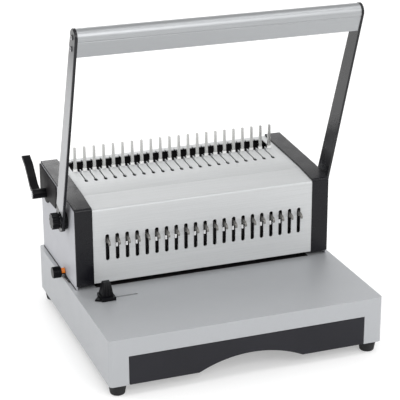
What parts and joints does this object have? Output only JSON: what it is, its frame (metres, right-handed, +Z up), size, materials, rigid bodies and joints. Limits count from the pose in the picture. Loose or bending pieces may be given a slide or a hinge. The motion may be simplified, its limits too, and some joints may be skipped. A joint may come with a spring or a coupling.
{
  "type": "comb binding machine",
  "caption": "Comb binding machine: lever handle drives a row of punch pins with pull-out selectors; side lever opens combs over a row of tines; chip drawer, edge guide and margin knob.",
  "frame": {"origin": "centre of the whole machine's bounding box, on the surface it stands on", "axes": "+X to the user's right, -Y towards the user (front, paper tray), +Z up"},
  "size_m": [0.4124, 0.3684, 0.4662],
  "materials": {
    "painted_silver": "satin silver paint, fine grain",
    "side_silver": "semi-gloss silver",
    "aluminium": "satin anodised",
    "charcoal_paint": "satin",
    "charcoal_plastic": "fine texture",
    "black_plastic": "satin",
    "rubber": "matte",
    "steel": "brushed",
    "dark_steel": "blackened",
    "bright_steel": "polished",
    "orange_plastic": "gloss"
  },
  "bodies": {
    "frame": {"base_cover": "painted_silver", "base_floor": "charcoal_paint", "rubber_feet": "rubber", "die_block": "dark_steel", "stripper_plate": "dark_steel", "left_side_plate": "side_silver", "right_side_plate": "side_silver", "left_end_cap": "charcoal_plastic", "right_end_cap": "charcoal_plastic", "front_cover": "painted_silver", "rear_cover": "painted_silver", "lever_bearing_cover": "charcoal_paint", "guide_posts": "bright_steel", "rake_strip": "steel", "comb_tines": "bright_steel", "margin_ring": "orange_plastic"},
    "handle": {"handle_shaft": "bright_steel", "drive_pinions": "steel", "hub_discs": "black_plastic", "hub_knobs": "black_plastic", "left_arm": "charcoal_paint", "right_arm": "charcoal_paint", "arm_skins": "aluminium", "grip_bar": "aluminium", "grip_screws": "bright_steel"},
    "punch": {"punch_bar": "dark_steel", "punch_racks": "steel", "punch_pins": "bright_steel"},
    "comb_lever": {"lever_shaft": "bright_steel", "lever_pinions": "steel", "comb_lever": "black_plastic"},
    "hook_slide": {"hook_plate": "dark_steel", "comb_hooks": "bright_steel"},
    "drawer": {"chip_drawer": "charcoal_plastic", "drawer_front": "charcoal_plastic"},
    "margin_control": {"margin_shaft": "bright_steel", "margin_knob": "black_plastic"},
    "depth_stop": {"depth_stop": "dark_steel"},
    "edge_guide": {"edge_guide": "black_plastic"},
    "selector_01": {"selector_01": "steel"},
    "selector_02": {"selector_02": "steel"},
    "selector_03": {"selector_03": "steel"},
    "selector_04": {"selector_04": "steel"},
    "selector_05": {"selector_05": "steel"},
    "selector_06": {"selector_06": "steel"},
    "selector_07": {"selector_07": "steel"},
    "selector_08": {"selector_08": "steel"},
    "selector_09": {"selector_09": "steel"},
    "selector_10": {"selector_10": "steel"},
    "selector_11": {"selector_11": "steel"},
    "selector_12": {"selector_12": "steel"},
    "selector_13": {"selector_13": "steel"},
    "selector_14": {"selector_14": "steel"},
    "selector_15": {"selector_15": "steel"},
    "selector_16": {"selector_16": "steel"},
    "selector_17": {"selector_17": "steel"},
    "selector_18": {"selector_18": "steel"},
    "selector_19": {"selector_19": "steel"},
    "selector_20": {"selector_20": "steel"},
    "selector_21": {"selector_21": "steel"}
  },
  "joints": [
    {"name": "handle_hinge", "type": "hinge", "parent": "frame", "child": "handle", "pos_m": [0.0051, 0.02775, 0.1715], "axis": [1, 0, 0], "range_deg": [0, 60], "stiffness_Nm_per_rad": 1.6, "springref_deg": -51.57},
    {"name": "punch_slide", "type": "slide", "parent": "frame", "child": "punch", "axis": [0, 0, -1], "range_m": [0, 0.0145]},
    {"name": "lever_hinge", "type": "hinge", "parent": "frame", "child": "comb_lever", "pos_m": [0.0051, 0.12775, 0.177], "axis": [1, 0, 0], "range_deg": [0, 95]},
    {"name": "hook_travel", "type": "slide", "parent": "frame", "child": "hook_slide", "axis": [0, -1, 0], "range_m": [0, 0.025]},
    {"name": "drawer_slide", "type": "slide", "parent": "frame", "child": "drawer", "axis": [0, -1, 0], "range_m": [0, 0.13]},
    {"name": "margin_turn", "type": "hinge", "parent": "frame", "child": "margin_control", "pos_m": [-0.1849, 0.04475, 0.0875], "axis": [1, 0, 0], "range_deg": [0, 180]},
    {"name": "depth_slide", "type": "slide", "parent": "frame", "child": "depth_stop", "axis": [0, -1, 0], "range_m": [0, 0.0026]},
    {"name": "guide_slide", "type": "slide", "parent": "frame", "child": "edge_guide", "axis": [1, 0, 0], "range_m": [0, 0.04]},
    {"name": "selector_01_pull", "type": "slide", "parent": "punch", "child": "selector_01", "axis": [0, -1, 0], "range_m": [0, 0.007]},
    {"name": "selector_02_pull", "type": "slide", "parent": "punch", "child": "selector_02", "axis": [0, -1, 0], "range_m": [0, 0.007]},
    {"name": "selector_03_pull", "type": "slide", "parent": "punch", "child": "selector_03", "axis": [0, -1, 0], "range_m": [0, 0.007]},
    {"name": "selector_04_pull", "type": "slide", "parent": "punch", "child": "selector_04", "axis": [0, -1, 0], "range_m": [0, 0.007]},
    {"name": "selector_05_pull", "type": "slide", "parent": "punch", "child": "selector_05", "axis": [0, -1, 0], "range_m": [0, 0.007]},
    {"name": "selector_06_pull", "type": "slide", "parent": "punch", "child": "selector_06", "axis": [0, -1, 0], "range_m": [0, 0.007]},
    {"name": "selector_07_pull", "type": "slide", "parent": "punch", "child": "selector_07", "axis": [0, -1, 0], "range_m": [0, 0.007]},
    {"name": "selector_08_pull", "type": "slide", "parent": "punch", "child": "selector_08", "axis": [0, -1, 0], "range_m": [0, 0.007]},
    {"name": "selector_09_pull", "type": "slide", "parent": "punch", "child": "selector_09", "axis": [0, -1, 0], "range_m": [0, 0.007]},
    {"name": "selector_10_pull", "type": "slide", "parent": "punch", "child": "selector_10", "axis": [0, -1, 0], "range_m": [0, 0.007]},
    {"name": "selector_11_pull", "type": "slide", "parent": "punch", "child": "selector_11", "axis": [0, -1, 0], "range_m": [0, 0.007]},
    {"name": "selector_12_pull", "type": "slide", "parent": "punch", "child": "selector_12", "axis": [0, -1, 0], "range_m": [0, 0.007]},
    {"name": "selector_13_pull", "type": "slide", "parent": "punch", "child": "selector_13", "axis": [0, -1, 0], "range_m": [0, 0.007]},
    {"name": "selector_14_pull", "type": "slide", "parent": "punch", "child": "selector_14", "axis": [0, -1, 0], "range_m": [0, 0.007]},
    {"name": "selector_15_pull", "type": "slide", "parent": "punch", "child": "selector_15", "axis": [0, -1, 0], "range_m": [0, 0.007]},
    {"name": "selector_16_pull", "type": "slide", "parent": "punch", "child": "selector_16", "axis": [0, -1, 0], "range_m": [0, 0.007]},
    {"name": "selector_17_pull", "type": "slide", "parent": "punch", "child": "selector_17", "axis": [0, -1, 0], "range_m": [0, 0.007]},
    {"name": "selector_18_pull", "type": "slide", "parent": "punch", "child": "selector_18", "axis": [0, -1, 0], "range_m": [0, 0.007]},
    {"name": "selector_19_pull", "type": "slide", "parent": "punch", "child": "selector_19", "axis": [0, -1, 0], "range_m": [0, 0.007]},
    {"name": "selector_20_pull", "type": "slide", "parent": "punch", "child": "selector_20", "axis": [0, -1, 0], "range_m": [0, 0.007]},
    {"name": "selector_21_pull", "type": "slide", "parent": "punch", "child": "selector_21", "axis": [0, -1, 0], "range_m": [0, 0.007]}
  ],
  "couplings": [
    {"joint": "punch_slide", "follows": "handle_hinge", "m_per_rad": 0.01375},
    {"joint": "hook_travel", "follows": "lever_hinge", "m_per_rad": 0.015},
    {"joint": "margin_turn", "follows": "depth_slide", "rad_per_m": 1208}
  ]
}
